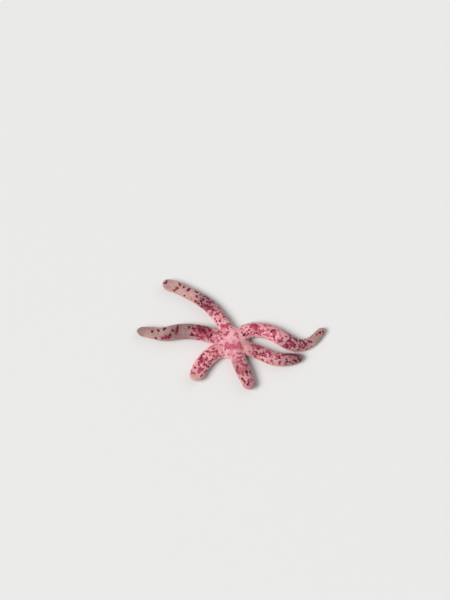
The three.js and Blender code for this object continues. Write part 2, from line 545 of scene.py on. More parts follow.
def castDown(place):
    # the skin's place under or over another
    return surface.ray_cast(Vector((place.x, place.y, 30 * mm)), down)[0]


# Markings. A mark is how far along the arm it is, how far to the left, its radius and its tone:
# 0.4 is soft red, 0.75 crimson and 1 dark maroon. It may go on with how many times wider than
# long it is, and how much paler its middle is.

armMarks = {
    "upper_right": [
        (7, -2, 0.7, 0.6), (12, 2.5, 0.6, 0.7), (14, 1.5, 1.2, 0.62), (16, 1, 1.3, 0.64),
        (16, -1, 1.2, 0.56), (18.5, -2, 1, 0.55), (20.5, -1.5, 1, 0.48), (18, -3.5, 1, 0.45),
        (15.5, 0, 2.3, 0.37), (23, 2.5, 0.9, 0.45), (25, -0.5, 0.7, 0.8), (26, 0.5, 0.8, 0.85),
        (27, -1, 1.2, 0.52), (27.5, -2.5, 0.8, 0.7), (33, -2.5, 0.8, 0.55), (36.5, 0, 0.7, 0.9),
        (38, -1.5, 1.4, 0.62), (36.5, -3.7, 0.7, 0.95), (32, -3, 0.9, 0.6), (33.5, 1, 0.8, 0.6),
        (37, 4, 0.6, 0.8), (39.6, 2.6, 0.7, 0.8, 1.8), (40.3, 1, 0.6, 0.86),
        (42.4, 1.6, 0.55, 0.85, 1.8), (44.3, 1, 0.55, 0.88, 2.2), (43.6, -2.4, 0.45, 0.75),
        (47.8, 0.1, 0.75, 0.82), (46.7, 1.1, 0.4, 0.72), (48.9, 1, 0.4, 0.75), (48.8, -1, 0.4, 0.78),
        (46.9, -1, 0.35, 0.7), (47.8, -2.6, 0.55, 0.8), (50.4, 1.9, 0.5, 0.82), (52.2, 2.2, 0.4, 0.8),
        (54.2, 0.5, 0.45, 0.66), (56.2, -0.1, 0.8, 0.95), (57.8, -1, 0.6, 0.95), (57.2, -2, 0.7, 0.42),
        (51.5, -1.2, 0.35, 0.62),
    ],
    "upper_left": [
        (55, 0, 0.8, 1), (54.5, -1.6, 0.5, 0.9), (47.5, 1.5, 0.9, 0.72), (48.5, 3, 0.6, 0.85),
        (47, -1.4, 0.7, 0.95), (44, -1.2, 0.65, 0.95), (41, -0.8, 0.75, 0.85, 1.8),
        (41.5, 3, 0.5, 0.95), (34.5, 0.5, 0.8, 0.7), (34, 3, 0.7, 0.8), (33.5, -3.5, 0.9, 0.8),
        (30.5, 0, 0.9, 0.78), (29, -2.5, 1, 0.75), (27.5, 2, 0.9, 0.72), (26, 1.5, 1, 0.75),
        (24.5, 1.5, 1.2, 0.7), (22, 1, 0.9, 0.66), (19, 1.5, 0.7, 0.6), (16.5, -3.5, 0.8, 0.72),
        (14, 1.5, 0.8, 0.66), (11, 2, 1, 0.5), (9.7, 1, 1.2, 0.48), (10.3, -1.6, 0.9, 0.5),
    ],
    "left": [
        (45.5, 0, 0.8, 0.9), (42.5, -1, 0.7, 0.85), (38.5, -2, 0.8, 0.9, 1.4), (34, 0, 0.8, 0.88),
        (31, -2.5, 0.8, 0.74), (31.3, -1, 0.9, 0.72), (31.8, 0.7, 0.9, 0.74), (32.5, 2.2, 0.8, 0.74),
        (36.5, 3, 1.1, 0.68), (38.3, 3, 1.2, 0.66), (40, 3.2, 0.9, 0.66), (35.8, 2.2, 0.8, 0.8),
        (43, 3.2, 0.6, 0.9), (46.5, 3.6, 0.5, 0.9), (25, -1, 0.8, 0.82), (23, 2.8, 0.8, 0.8),
        (22.5, -0.5, 0.9, 0.78), (22, 1, 0.6, 0.7), (19.5, -1, 1.1, 0.82), (17, -0.5, 1, 0.88),
        (15.5, 0.5, 0.9, 0.84), (18.5, 1, 0.9, 0.74), (13.5, -1.5, 0.9, 0.82), (14, 2, 0.8, 0.7),
        (20, 3.2, 1, 0.62), (17, 3.5, 1.2, 0.58), (12, 1, 0.7, 1), (15, -3, 1, 0.85),
        (20.5, -3, 1, 0.8), (15.5, 0.5, 2.8, 0.45), (19, 0, 3, 0.42), (16.5, -2, 2.4, 0.5),
    ],
    "lower_left": [
        (11, -1, 0.6, 0.85), (10.5, 1, 0.9, 0.6), (14.5, -2, 0.6, 0.85), (17.5, -3, 0.8, 0.9),
        (19.5, -2, 1.2, 0.74), (18, 1, 0.8, 0.62), (13.5, 2.5, 0.8, 0.55), (21.5, 1.5, 0.8, 0.65),
        (20.5, -0.5, 1, 0.7), (20.5, 4, 0.6, 0.85), (25, -2, 0.7, 0.85), (28, -2.5, 0.6, 0.95),
        (28, -1, 0.8, 0.55), (26.5, 1, 0.8, 0.55), (24.5, 2, 0.8, 0.65), (24.5, 0.5, 0.8, 0.62),
        (20, -1, 2, 0.37),
    ],
    "bottom": [
        (8.5, 1.5, 0.7, 0.46, 2.2), (10.5, 0.5, 0.7, 0.46, 2.6), (12.5, -0.5, 0.7, 0.46, 2.6),
        (15, -2.5, 1, 0.62), (18, -3, 1, 0.6), (18, -0.5, 2, 0.37), (19.5, 1, 0.7, 0.95),
        (22, -2.5, 0.9, 0.72), (24, -2, 0.8, 0.68), (26, -1, 0.8, 0.74), (24.5, -4, 0.7, 0.5),
        (16.5, -2.5, 1.8, 0.37),
    ],
    "lower_right": [
        (15, 1, 1, 0.6), (20.5, 2, 0.8, 0.58), (21.5, 1, 0.8, 0.58), (23, 0, 1.1, 0.6, 1, 0.5),
        (24, -2.5, 0.8, 0.55), (15.5, -2, 0.8, 0.62), (17, -1.5, 0.8, 0.62), (20, -1, 0.8, 0.6),
        (27.5, 0, 0.8, 0.75), (12, 2, 1.6, 0.45), (15, 2.5, 1.6, 0.5), (19.5, -3.5, 0.8, 0.75),
        (28, -2.7, 0.8, 0.66, 1.3), (29.8, 1.9, 1, 0.6), (32, 2.2, 1.5, 0.78, 0.5),
        (34.5, 2, 1.3, 0.88, 0.6), (33.5, 0.4, 0.6, 0.62), (36.4, 1.2, 0.7, 0.82),
        (38, 0.6, 0.45, 0.8, 2), (35.4, -1.6, 0.6, 0.82), (36.6, -2, 0.7, 0.92),
        (31.5, -0.8, 0.4, 0.75), (33.4, -2.4, 0.45, 0.8), (25.5, 1.2, 0.9, 0.66, 1, 0.5),
        (27.6, 0.6, 0.45, 0.75), (27.6, -0.6, 0.4, 0.75),
    ],
}
discMarks = [  # each is x and y from the centre, its radius and its tone
    (-2.2, -3.4, 2, 0.435), (-1.2, -5.6, 1.1, 0.4), (1, -3.6, 1.5, 0.43), (3.6, -3.4, 1.7, 0.43),
    (4.2, -1.8, 1.1, 0.44), (5.4, -4.2, 1, 0.42), (-2.6, -1.6, 1, 0.4), (0.4, -1, 0.6, 0.36),
    (2.6, 4.2, 0.9, 0.46), (3, 2, 0.9, 0.42), (1.4, 3, 0.8, 0.38), (-3.2, 4, 1.3, 0.55),
    (-4.3, 3.6, 0.55, 0.9), (-2.2, 5, 0.9, 0.5), (-3, 9, 1, 0.52), (-1, 10.5, 1, 0.5),
    (-5, 8.5, 0.6, 0.7), (-8, 10.5, 0.6, 0.7), (3, 8.5, 0.8, 0.46), (7, 3.5, 0.7, 0.95),
    (5.5, 4.5, 0.8, 0.5), (8, 1, 0.7, 0.42), (-5.5, 1, 0.9, 0.5), (-7.5, 0, 0.8, 0.46),
    (-8.5, 1.5, 0.8, 0.46), (-6.2, 3, 0.7, 0.42), (-8.5, -2, 0.8, 0.38), (-8.5, -6, 0.9, 0.6),
    (-10, -4.5, 0.6, 0.9), (-6, -5.4, 0.8, 0.36), (4.4, -7.6, 0.6, 0.42), (2.8, -7.4, 0.6, 0.42),
]
zones = {  # distance along the arm, share of the back that blotches cover there, their tone, and dusk, which is partly pigment and partly painted shade
    "upper_right": [
        (0, 0.25, 0.45, 0.05), (8, 0.45, 0.44, 0.05), (12, 0.6, 0.5, 0.05), (15, 0.62, 0.54, 0.08),
        (18.5, 0.45, 0.48, 0.08), (24, 0.4, 0.5, 0.08), (29, 0.42, 0.46, 0.15), (33, 0.7, 0.62, 0.5),
        (36, 0.72, 0.7, 0.75), (42, 0.72, 0.8, 0.9), (45, 0.4, 0.8, 0.7), (49, 0.14, 0.85, 0.5),
        (60, 0.1, 0.85, 0.7),
    ],
    "upper_left": [
        (0, 0.3, 0.5, 0), (5, 0.45, 0.53, 0), (12, 0.5, 0.52, 0.05), (16, 0.55, 0.56, 0.15),
        (20, 0.7, 0.67, 0.48), (24, 0.75, 0.68, 0.6), (27.5, 0.8, 0.72, 0.95), (32, 0.85, 0.75, 1.15),
        (35, 0.4, 0.75, 0.45), (38, 0.06, 0.8, 0.15), (51, 0.04, 0.9, 0.2), (57, 0.04, 0.9, 0.5),
    ],
    "left": [
        (0, 0.3, 0.5, 0.05), (7, 0.5, 0.54, 0.14), (10.5, 0.6, 0.6, 0.28), (13, 0.8, 0.72, 0.42),
        (21, 0.8, 0.72, 0.78), (23.5, 0.5, 0.7, 1.02), (25.5, 0.06, 0.7, 1.2), (30, 0.04, 0.7, 1.15),
        (34, 0.12, 0.75, 0.95), (38, 0.1, 0.75, 0.7), (42, 0.05, 0.8, 0.5), (48, 0.01, 0.8, 0.48),
        (54, 0.01, 0.8, 1.1),
    ],
    "lower_left": [
        (0, 0.3, 0.42, 0.06), (8, 0.45, 0.5, 0.04), (13, 0.6, 0.58, 0), (17, 0.66, 0.58, 0),
        (22, 0.52, 0.57, 0), (25, 0.38, 0.56, 0), (28, 0.25, 0.58, 0.05), (29, 0.04, 0.6, 0.1),
    ],
    "bottom": [
        (0, 0.25, 0.42, 0), (8, 0.3, 0.45, 0.2), (13, 0.42, 0.5, 0.55), (20, 0.5, 0.55, 0.7),
        (25, 0.45, 0.6, 0.65), (28, 0.1, 0.6, 0.7),
    ],
    "lower_right": [
        (0, 0.25, 0.42, 0.05), (6, 0.1, 0.42, 0.3), (10, 0.15, 0.46, 0.5), (12, 0.6, 0.54, 0.6),
        (16, 0.7, 0.6, 0.6), (19, 0.65, 0.55, 0.35), (24, 0.55, 0.52, 0.38), (27, 0.4, 0.56, 0.52),
        (31, 0.45, 0.66, 0.9), (35, 0.5, 0.78, 1.15), (38, 0.4, 0.8, 1.35),
    ],
}
beigeSpans = {  # where an arm's ground turns from pink to beige
    "upper_right": (40, 49), "upper_left": (31, 39), "left": (22, 36), "lower_left": (25, 32),
    "bottom": (24, 36), "lower_right": (36, 46),
}
blotches = {
    "radius": (0.45, 1),
    "toneSpread": 0.1,
    "dotShare": 0.18,  # of the blotches that are small dark dots
    "dotRadius": 0.42,
    "dotTone": 0.3,  # more than the zone's
    "ringShare": 0.3,  # of the blotches that are rings
    "ringRadius": (0.9, 1.25),
    "ringHollow": 0.55,  # how much paler a ring's middle is
    "ringRim": (0.75, 0.4),  # of a mark's radius, where its hollow starts and is full
    "fade": (1.5, 0.9),  # of a mark's radius, where its tone starts and is full
    "backHalfAngle": 52,  # of full cover, either side of the crest
    "sideHalfAngle": 102,  # where the cover ends
    "sideCover": 0.03,
    "leastCover": 0.01,
    "gapShare": 0.34,  # the gap round a blotch, for a cover of 1
    "overlap": 0.8,  # how much of another mark's radius a blotch keeps clear of
    "broad": 1.8,  # the radius of marks that blotches may lie on
    "trials": 3600,
    "startAlong": 6,
    "endShort": 0.3,
}
ground = {  # heights are from the arm's core, where each starts and is full
    "duskShadeDepth": 0.47,  # how much darker the dusky skin is, partly pigment and partly painted shade
    "duskShadeHeights": (-3, 0),
    "leastDuskShade": 0.35,  # of the back's, on the sole
    "flankLift": 0.2,  # how much lighter the flanks' skin is, partly pigment and partly painted light that evens out their shade
    "flankBeige": 0.3,
    "flankTop": (2.4, 0.8),
    "flankFoot": (-3, -1.5),
    "soleBeige": 0.75,
    "soleHeights": (-1, -3),
}


def zoneAt(name, along, column):
    # 1 is the cover, 2 the blotches' tone and 3 the duskiness, which is partly painted shade
    columns = list(zip(*zones[name]))
    return np.interp(along, columns[0], columns[column])


def placeMarks():
    placed = []  # each is centre, direction along the arm, half length, half width, tone and hollow
    for x, y, radius, tone in discMarks:
        placed.append((castDown(fromCentre(x, y, 0)), Vector((1, 0, 0)), radius, radius, tone, 0))
    for name, arm in arms.items():
        for along, across, radius, tone, *more in armMarks[name]:
            place = castDown(armPoint(arm, along, across, 0))
            if place is not None:
                wide, hollow = more + [1, 0][len(more):]
                placed.append((place, headingAt(arm, along), radius, radius * wide, tone, hollow))
    return placed


def throwBlotch():
    # a blotch that may fall anywhere on the arms: its arm, place, radius, tone, hollow and gap
    name = dice.choices(armNames, [lengthOf(arm) for arm in arms.values()])[0]
    along = dice.uniform(blotches["startAlong"], lengthOf(arms[name]) - blotches["endShort"])
    angle = dice.uniform(-1, 1) * blotches["sideHalfAngle"]
    radius = dice.uniform(*blotches["radius"])
    tone = zoneAt(name, along, 2) + dice.uniform(-1, 1) * blotches["toneSpread"]
    hollow = 0
    kind = dice.random()
    if kind < blotches["dotShare"]:
        radius, tone = blotches["dotRadius"], tone + blotches["dotTone"]
    elif kind > 1 - blotches["ringShare"]:
        radius, hollow = dice.uniform(*blotches["ringRadius"]), blotches["ringHollow"]
    ends = blotches["backHalfAngle"], blotches["sideHalfAngle"]
    cover = zoneAt(name, along, 1) * np.interp(abs(angle), ends, (1, blotches["sideCover"]))
    gap = blotches["gapShare"] * (1 / max(cover, blotches["leastCover"]) - 1)
    return arms[name], along, angle, radius, min(tone, 1), hollow, gap


def addBlotches(placed):
    # keeps the blotches that leave the ground's pink network open
    fixed = [mark for mark in placed if mark[2] < blotches["broad"]]
    added = []
    for trial in range(blotches["trials"]):
        arm, along, angle, radius, tone, hollow, gap = throwBlotch()
        place, normal = castOut(arm, along, angle)
        if place is not None and all(
                (place - other[0]).length > (radius + other[2] * blotches["overlap"] + gap) * mm
                for other in fixed + added):
            added.append((place, headingAt(arm, along), radius, radius, tone, hollow))
    return placed + added


marks = addBlotches(placeMarks())
print("markings placed,", len(marks))


def rednessAt(points):
    redness = np.zeros(len(points))
    for centre, along, halfLength, halfWidth, tone, hollow in marks:
        away = (points - np.array(centre)) / mm
        onward = away @ np.array(along)
        aside = np.sqrt(np.maximum((away ** 2).sum(1) - onward ** 2, 0))
        edge = np.hypot(onward / halfLength, aside / halfWidth)
        tone = tone * (1 - hollow * ramp(edge, *blotches["ringRim"]))
        redness = np.maximum(redness, tone * ramp(edge, *blotches["fade"]))
    return redness


def alongArms(readings, valueAt):
    # asks for the values of one arm after the other
    values = np.zeros(len(readings["arm"]))
    for index, name in enumerate(armNames):
        onArm = readings["arm"] == index
        values[onArm] = valueAt(name, readings["along"][onArm])
    return values


def flankAt(readings):
    # the flanks are paler than the back, partly pigment and partly painted light against their shade,
    # and the sole is left as it is
    return ramp(readings["up"], *ground["flankTop"]) * ramp(readings["up"], *ground["flankFoot"])


def lightnessAt(readings):
    # 1 is plain and less is dusky, on the back and the sides; the dusk is partly pigment and partly
    # painted shade, and the flanks' lift is partly painted light
    duskAndShade = alongArms(readings, lambda name, along: zoneAt(name, along, 3))
    duskAndShade *= np.maximum(ramp(readings["up"], *ground["duskShadeHeights"]), ground["leastDuskShade"])
    return (1 - ground["duskShadeDepth"] * duskAndShade) * (1 + ground["flankLift"] * flankAt(readings))


def beigeAt(readings):
    outer = alongArms(readings, lambda name, along: ramp(along, *beigeSpans[name]))
    sole = ground["soleBeige"] * ramp(readings["up"], *ground["soleHeights"])
    return np.maximum(outer, np.maximum(sole, ground["flankBeige"] * flankAt(readings)))


# Where the plates lie: rows along the margins and the sole, and a close scatter over the back

plateLayout = {
    "rows": [(84, 1.4), (104, 1.35), (124, 1.3)],  # degrees from the crest, and spacing
    "soleRow": (2.5, 1.15),  # from the midline, and spacing
    "rowStart": 6,
    "rowShort": 0.8,  # of the arm's end
    "rowCrowding": 0.72,  # of the spacing, which plates of two rows keep
    "backSpacing": 0.98,
    "tipSpacing": 0.72,
    "tipLength": 7,
    "radiusRange": (0.38, 0.7),
    "settleRounds": 4,
    "settleReach": 1.3,  # of the back's spacing
    "settlePush": 0.3,
    "trials": 50000,
    "bareLip": 0.3,  # either side of the furrow
    "bareHeight": 0.6,  # over the furrow's depth
    "bareTipHeight": 0.1,
    "bareMouth": 3.2,
    "madreporiteRoom": 1.5,
    "tipPlateRoom": 1.08,
}


class Crowd:
    # places that have been taken, kept in cells so that near ones are found fast
    def __init__(self, places=(), cell=1.6):
        self.cell = cell * mm
        self.cells = {}
        for place in places:
            self.add(place)

    def key(self, place):
        return tuple(math.floor(v / self.cell) for v in place)

    def near(self, place):
        a, b, c = self.key(place)
        for i in (a - 1, a, a + 1):
            for j in (b - 1, b, b + 1):
                for k in (c - 1, c, c + 1):
                    yield from self.cells.get((i, j, k), ())

    def isFree(self, place, spacing):
        return all((other - place).length >= spacing for other in self.near(place))

    def add(self, place):
        self.cells.setdefault(self.key(place), []).append(place)


ownRooms = [(middleOf(f"madreporite_{i}"), plateLayout["madreporiteRoom"]) for i in (1, 2)]
ownRooms += [(middleOf("terminal_plate_" + name), plateLayout["tipPlateRoom"]) for name in armNames]


def isBare(place, along, across, arm):
    # in a furrow or the mouth, or under a plate that is a piece of its own
    height = place.z / mm - liftAt(arm, along)
    room = plateLayout["bareHeight" if along < lengthOf(arm) - 1 else "bareTipHeight"]
    inFurrow = height < body["furrowDepth"] + room \
        and abs(across) < body["furrowWidth"] / 2 * girthAt(arm, along) + plateLayout["bareLip"]
    offCentre = Vector((place.x - discCentre.x, place.y - discCentre.y)).length
    inMouth = offCentre < plateLayout["bareMouth"] * mm and height < body["discHeight"] / 2
    return inFurrow or inMouth or any((place - centre).length < own * mm for centre, own in ownRooms)


def rowHits(arm):
    # the skin's places along an arm's margins and sole, with their spacing
    start = plateLayout["rowStart"]
    for side in (-1, 1):
        for angle, spacing in plateLayout["rows"]:
            for i in range(int((lengthOf(arm) - start - plateLayout["rowShort"]) / spacing)):
                yield castOut(arm, start + i * spacing, side * angle), spacing
        across, spacing = plateLayout["soleRow"]
        for i in range(int((lengthOf(arm) - start - 1) / spacing)):
            along = start - 1 + i * spacing
            yield castSole(arm, along, side * across * girthAt(arm, along)), spacing


def placeRows():
    crowd, rowPlaces = Crowd(), []
    for index, arm in enumerate(arms.values()):
        for (place, normal), spacing in rowHits(arm):
            if place is None:
                continue
            near = readPlaces([place])
            isOurs = near["arm"][0] == index
            if isOurs and not isBare(place, near["along"][0], near["across"][0], arm) \
                    and crowd.isFree(place, spacing * plateLayout["rowCrowding"] * mm):
                crowd.add(place)
                rowPlaces.append(place)
    return rowPlaces


def randomPlaces(count, seed):
    # middles of the skin's faces, by chance
    rng = np.random.default_rng(seed)
    areas = readAll(skin.data.polygons, "area")
    chosen = rng.choice(len(areas), count, p=areas / areas.sum())
    return [skin.data.polygons[i].center.copy() for i in chosen]


def withArms(places):
    # each place with how far along and across its arm it is, and that arm
    near = readPlaces(places)
    for place, index, along, across in zip(places, near["arm"], near["along"], near["across"]):
        yield place, along, across, arms[armNames[index]]


def fillBetween(taken, trials):
    # adds places that keep their spacing from all others
    crowd, added = Crowd(taken), []
    for place, along, across, arm in withArms(trials):
        toTip = (lengthOf(arm) - along) / plateLayout["tipLength"]
        spacing = np.interp(toTip, (0, 1), (plateLayout["tipSpacing"], plateLayout["backSpacing"]))
        if crowd.isFree(place, spacing * mm) and not isBare(place, along, across, arm):
            crowd.add(place)
            added.append(place)
    return added


def settlePlaces(rowPlaces, between):
    # lets the places between the rows push each other apart along the skin
    reach = plateLayout["backSpacing"] * plateLayout["settleReach"] * mm
    for turn in range(plateLayout["settleRounds"]):
        crowd = Crowd(rowPlaces + between)
        moved = []
        for place in between:
            push = Vector()
            for other in crowd.near(place):
                away = place - other
                if 0 < away.length < reach:
                    push += away.normalized() * (reach - away.length) * plateLayout["settlePush"]
            moved.append(surface.find_nearest(place + push)[0])
        between = moved
    return between


def placePlates():
    rowPlaces = placeRows()
    trials = randomPlaces(plateLayout["trials"], 5)
    between = settlePlaces(rowPlaces, fillBetween(rowPlaces, trials))
    between += fillBetween(rowPlaces + between, trials)
    print("plates placed,", len(rowPlaces), "in rows and", len(between), "between")
    return [(reading[0], surface.find_nearest(reading[0])[1])
            for reading in withArms(rowPlaces + between) if not isBare(*reading)]


plates = placePlates()
platePlaces = np.array([place for place, normal in plates])
plateReadings = readPlaces(platePlaces)
plateRedness = rednessAt(platePlaces)
plateBeige = beigeAt(plateReadings)
# each plate's tone varies at random, times the lightness, which holds painted shade and painted light
plateShade = np.array([dice.uniform(0.9, 1.1) for plate in plates]) * lightnessAt(plateReadings)
plateTree = KDTree(len(plates))
for i, (place, normal) in enumerate(plates):
    plateTree.insert(place, i)
plateTree.balance()


def plateRadius(place):
    # half of the mean way to its three nearest neighbours
    near = plateTree.find_n(place, 4)[1:]
    lowest, highest = plateLayout["radiusRange"]
    return min(max(sum(found[2] for found in near) / 6 / mm, lowest), highest)


plateRadii = np.array([plateRadius(place) for place, normal in plates])


def markPiece(piece, toneShare=1, leastBeige=0):
    places = readAll(piece.data.vertices, "co", 3).reshape(-1, 3)
    readings = readPlaces(places)
    storeReading(piece.data, "redness", rednessAt(places) * toneShare)
    storeReading(piece.data, "beige", np.maximum(beigeAt(readings), leastBeige))
    # the shade reading is the lightness, which holds painted shade and painted light
    storeReading(piece.data, "shade", lightnessAt(readings))


markPiece(skin)
print("skin marked")


# Materials. One group holds the pigment that skin, plates and spines share.

palette = {
    "pinkLight": (0.85, 0.46, 0.477),
    "pinkDeep": (0.68, 0.29, 0.317),
    "beigeLight": (0.64, 0.408, 0.37),
    "beigeDeep": (0.47, 0.28, 0.253),
    "softRed": (0.6, 0.125, 0.187),
    "red": (0.4, 0.047, 0.098),
    "crimson": (0.21, 0.012, 0.04),
    "maroon": (0.11, 0.006, 0.02),
    "membrane": (0.50, 0.22, 0.18),
    "foot": (0.80, 0.58, 0.48),
    "tones": {"softRed": 0.4, "red": 0.6, "crimson": 0.76, "maroon": 0.98},
    "markEdge": (0.2, 0.44),  # the tones that a mark's edge fades over
    "ragged": 0.12,  # how much a mark's tone varies, which breaks its edge
    "hueRange": (0.49, 0.512),
    "scales": {"ground": 170, "edge": 1100, "hue": 330},
    "poreDark": (0.62, 0.5, 0.5, 1),  # times the pigment, in a pore and round it
    "poreLight": (0.9, 0.82, 0.82, 1),
}
finish = {
    "Specular IOR Level": 0.22,
    "Sheen Weight": 0.3,
    "Sheen Roughness": 0.35,
    "Sheen Tint": (1, 0.86, 0.86, 1),
    "Subsurface Radius": (1, 0.35, 0.25),
    "Subsurface Scale": 0.8 * mm,
}


def colour(name, share=1):
    return (*(share * value for value in palette[name]), 1)


def mixColours(tree, factor, first, second, blend="MIX"):
    return addNode(tree, "ShaderNodeMix", {0: factor, 6: first, 7: second},
                   data_type="RGBA", blend_type=blend).outputs[2]


def noise(tree, places, scale, detail=2):
    inputs = {"Vector": places, "Scale": scale, "Detail": detail}
    return addNode(tree, "ShaderNodeTexNoise", inputs).outputs["Fac"]


def spreadOf(tree, grain, lowest=0, highest=1):
    # noise stays near its middle, so that part of it is spread over the whole range
    return reshape(tree, grain, 0.3, 0.7, lowest, highest)


def makePigmentGroup():
    group = bpy.data.node_groups.new("starPigment", "ShaderNodeTree")
    for name in ("Redness", "Beige", "Shade"):
        group.interface.new_socket(name, in_out="INPUT", socket_type="NodeSocketFloat")
    group.interface.new_socket("Color", in_out="OUTPUT", socket_type="NodeSocketColor")
    given = addNode(group, "NodeGroupInput").outputs
    places = addNode(group, "ShaderNodeTexCoord").outputs["Object"]
    broad = spreadOf(group, noise(group, places, palette["scales"]["ground"]))
    pink = mixColours(group, broad, colour("pinkLight"), colour("pinkDeep"))
    beige = mixColours(group, broad, colour("beigeLight"), colour("beigeDeep"))
    plain = mixColours(group, given["Beige"], pink, beige)
    fine = noise(group, places, palette["scales"]["edge"], 3)
    fine = reshape(group, fine, 0.25, 0.75, -palette["ragged"], palette["ragged"])
    ragged = addNode(group, "ShaderNodeMath", {0: given["Redness"], 1: fine}, operation="ADD").outputs[0]
    tones = addNode(group, "ShaderNodeValToRGB", {"Fac": ragged})
    stops = tones.color_ramp.elements
    stops.remove(stops[0])
    for i, (name, position) in enumerate(palette["tones"].items()):
        stop = stops.new(position) if i else stops[0]
        stop.position, stop.color = position, colour(name)
    cover = reshape(group, ragged, *palette["markEdge"], kind="SMOOTHSTEP")
    marked = mixColours(group, cover, plain, tones.outputs["Color"])
    hue = noise(group, places, palette["scales"]["hue"], 1)
    hue = spreadOf(group, hue, *palette["hueRange"])
    shaded = addNode(group, "ShaderNodeHueSaturation",
                     {"Hue": hue, "Value": given["Shade"], "Color": marked})
    addNode(group, "NodeGroupOutput", {"Color": shaded.outputs["Color"]})
    return group


pigmentGroup = makePigmentGroup()


def startMaterial(name, roughness, softness):
    material = bpy.data.materials.new(name)
    material.use_nodes = True
    tree = material.node_tree
    shader = tree.nodes["Principled BSDF"]
    for label, value in {**finish, "Roughness": roughness, "Subsurface Weight": softness}.items():
        shader.inputs[label].default_value = value
    places = addNode(tree, "ShaderNodeTexCoord").outputs["Object"]
    return material, tree, shader, places


def addBump(tree, shader, height, depth):
    bump = addNode(tree, "ShaderNodeBump", {"Height": height, "Strength": 1, "Distance": depth * mm})
    tree.links.new(bump.outputs["Normal"], shader.inputs["Normal"])


def pigmented(tree):
    group = addNode(tree, "ShaderNodeGroup", node_tree=pigmentGroup)
    for name in ("Redness", "Beige", "Shade"):
        reading = addNode(tree, "ShaderNodeAttribute", attribute_name=name.lower())
        tree.links.new(reading.outputs["Fac"], group.inputs[name])
    return group.outputs["Color"]


def makeSkinMaterial():
    # soft skin between the plates, a little darker, with pores
    material, tree, shader, places = startMaterial("softSkin", 0.6, 0.15)
    pores = addNode(tree, "ShaderNodeTexVoronoi", {"Vector": places, "Scale": 2600})
    between = reshape(tree, pores.outputs["Distance"], 0.1, 0.45, kind="SMOOTHSTEP")
    pigment = pigmented(tree)
    dark = mixColours(tree, 1, pigment, palette["poreDark"], "MULTIPLY")
    light = mixColours(tree, 1, pigment, palette["poreLight"], "MULTIPLY")
    tree.links.new(mixColours(tree, between, dark, light), shader.inputs["Base Color"])
    addBump(tree, shader, between, 0.06)
    return material


grainy = {  # roughness, softness, the grain's scale, detail, spread and depth, and a plain colour
    "granularPlates": (0.55, 0.12, 5200, 2, 0.08, 0.02, None),
    "chalkyPlates": (0.6, 0.12, 5200, 2, 0.08, 0.02, None),
    "tubeFeet": (0.4, 0.15, 900, 3, 0.1, 0.02, "foot"),
    "mouthMembrane": (0.4, 0.15, 700, 3, 0.1, 0.04, "membrane"),
}


def makeGrainy(name):
    # grain that shows in the roughness, the relief and, without pigment, the colour
    roughness, softness, scale, detail, spread, depth, base = grainy[name]
    material, tree, shader, places = startMaterial(name, roughness, softness)
    grain = noise(tree, places, scale, detail)
    if base:
        paint = mixColours(tree, spreadOf(tree, grain), colour(base), colour(base, 0.72))
    else:
        paint = pigmented(tree)
    tree.links.new(paint, shader.inputs["Base Color"])
    uneven = spreadOf(tree, grain, roughness - spread, roughness + spread)
    tree.links.new(uneven, shader.inputs["Roughness"])
    addBump(tree, shader, grain, depth)
    return material


smoothAndPaint(skin, makeSkinMaterial())
plateMaterial, chalkMaterial, footMaterial, membraneMaterial = map(makeGrainy, grainy)
print("materials made")


# Designs that are repeated: one unit in radius, with their foot a little under the skin

plateDesign = {
    "count": 6,
    "sides": 8,
    "rings": [(1, -0.34), (0.94, 0.06), (0.64, 0.16)],  # radius and height of the plate's rings
    "crown": 0.2,
    "dome": 0.18,  # height of the plate's middle, where granules stand on it
    "granules": [(1, 0, 0.24), (5, 0.48, 0.19), (5, 0.82, 0.15)],  # count, way out and radius
    "granuleRings": [(1, -0.3), (0.72, 0.6)],
    "granuleCrown": 1,
    "granuleSides": 5,
    "granuleHeight": 0.8,  # of its radius
}


def makeDome(name, sides, rings, crown):
    # a closed low dome from a filled circle: its rim is extruded up ring by ring
    radius, height = rings[0]
    bpy.ops.mesh.primitive_circle_add(vertices=sides, radius=radius, fill_type="NGON",
                                      location=(0, 0, height))
    dome = bpy.context.object
    dome.name = name
    settle(dome)
    startEdit(dome)
    for nextRadius, nextHeight in rings[1:]:
        rise = (0, 0, nextHeight - height)
        bpy.ops.mesh.extrude_region_move(TRANSFORM_OT_translate={"value": rise})
        share = nextRadius / radius
        bpy.ops.transform.resize(value=(share, share, 1), center_override=(0, 0, 0))
        radius, height = nextRadius, nextHeight
    bpy.ops.mesh.poke(offset=crown - height)
    bpy.ops.mesh.select_all(action="SELECT")
    bpy.ops.mesh.normals_make_consistent(inside=False)
    endEdit()
    return dome


def makeSeed(name):
    return makeDome(name, plateDesign["granuleSides"], plateDesign["granuleRings"],
                    plateDesign["granuleCrown"])


def makeGranule(radius, wayOut, angle, height):
    granule = makeSeed("granule")
    granule.scale = (radius, radius, radius * plateDesign["granuleHeight"])
    granule.location = (wayOut * math.cos(angle), wayOut * math.sin(angle), height)
    granule.rotation_euler = (0, 0, dice.uniform(0, 2))
    settle(granule)
    return granule


def makePlateDesign(name):
    # a domed plate with a granule on its middle and two rings of them
    parts = [makeDome(name, plateDesign["sides"], plateDesign["rings"], plateDesign["crown"])]
    for count, wayOut, radius in plateDesign["granules"]:
        turn = dice.uniform(0, 6)
        for i in range(count):
            angle = turn + 2 * math.pi * (i + dice.uniform(-0.15, 0.15)) / count
            away = wayOut * dice.uniform(0.9, 1.1)
            height = plateDesign["dome"] - plateDesign["dome"] * away ** 2
            parts.append(makeGranule(radius * dice.uniform(0.85, 1.15), away, angle, height))
    return joinAll(parts, name)


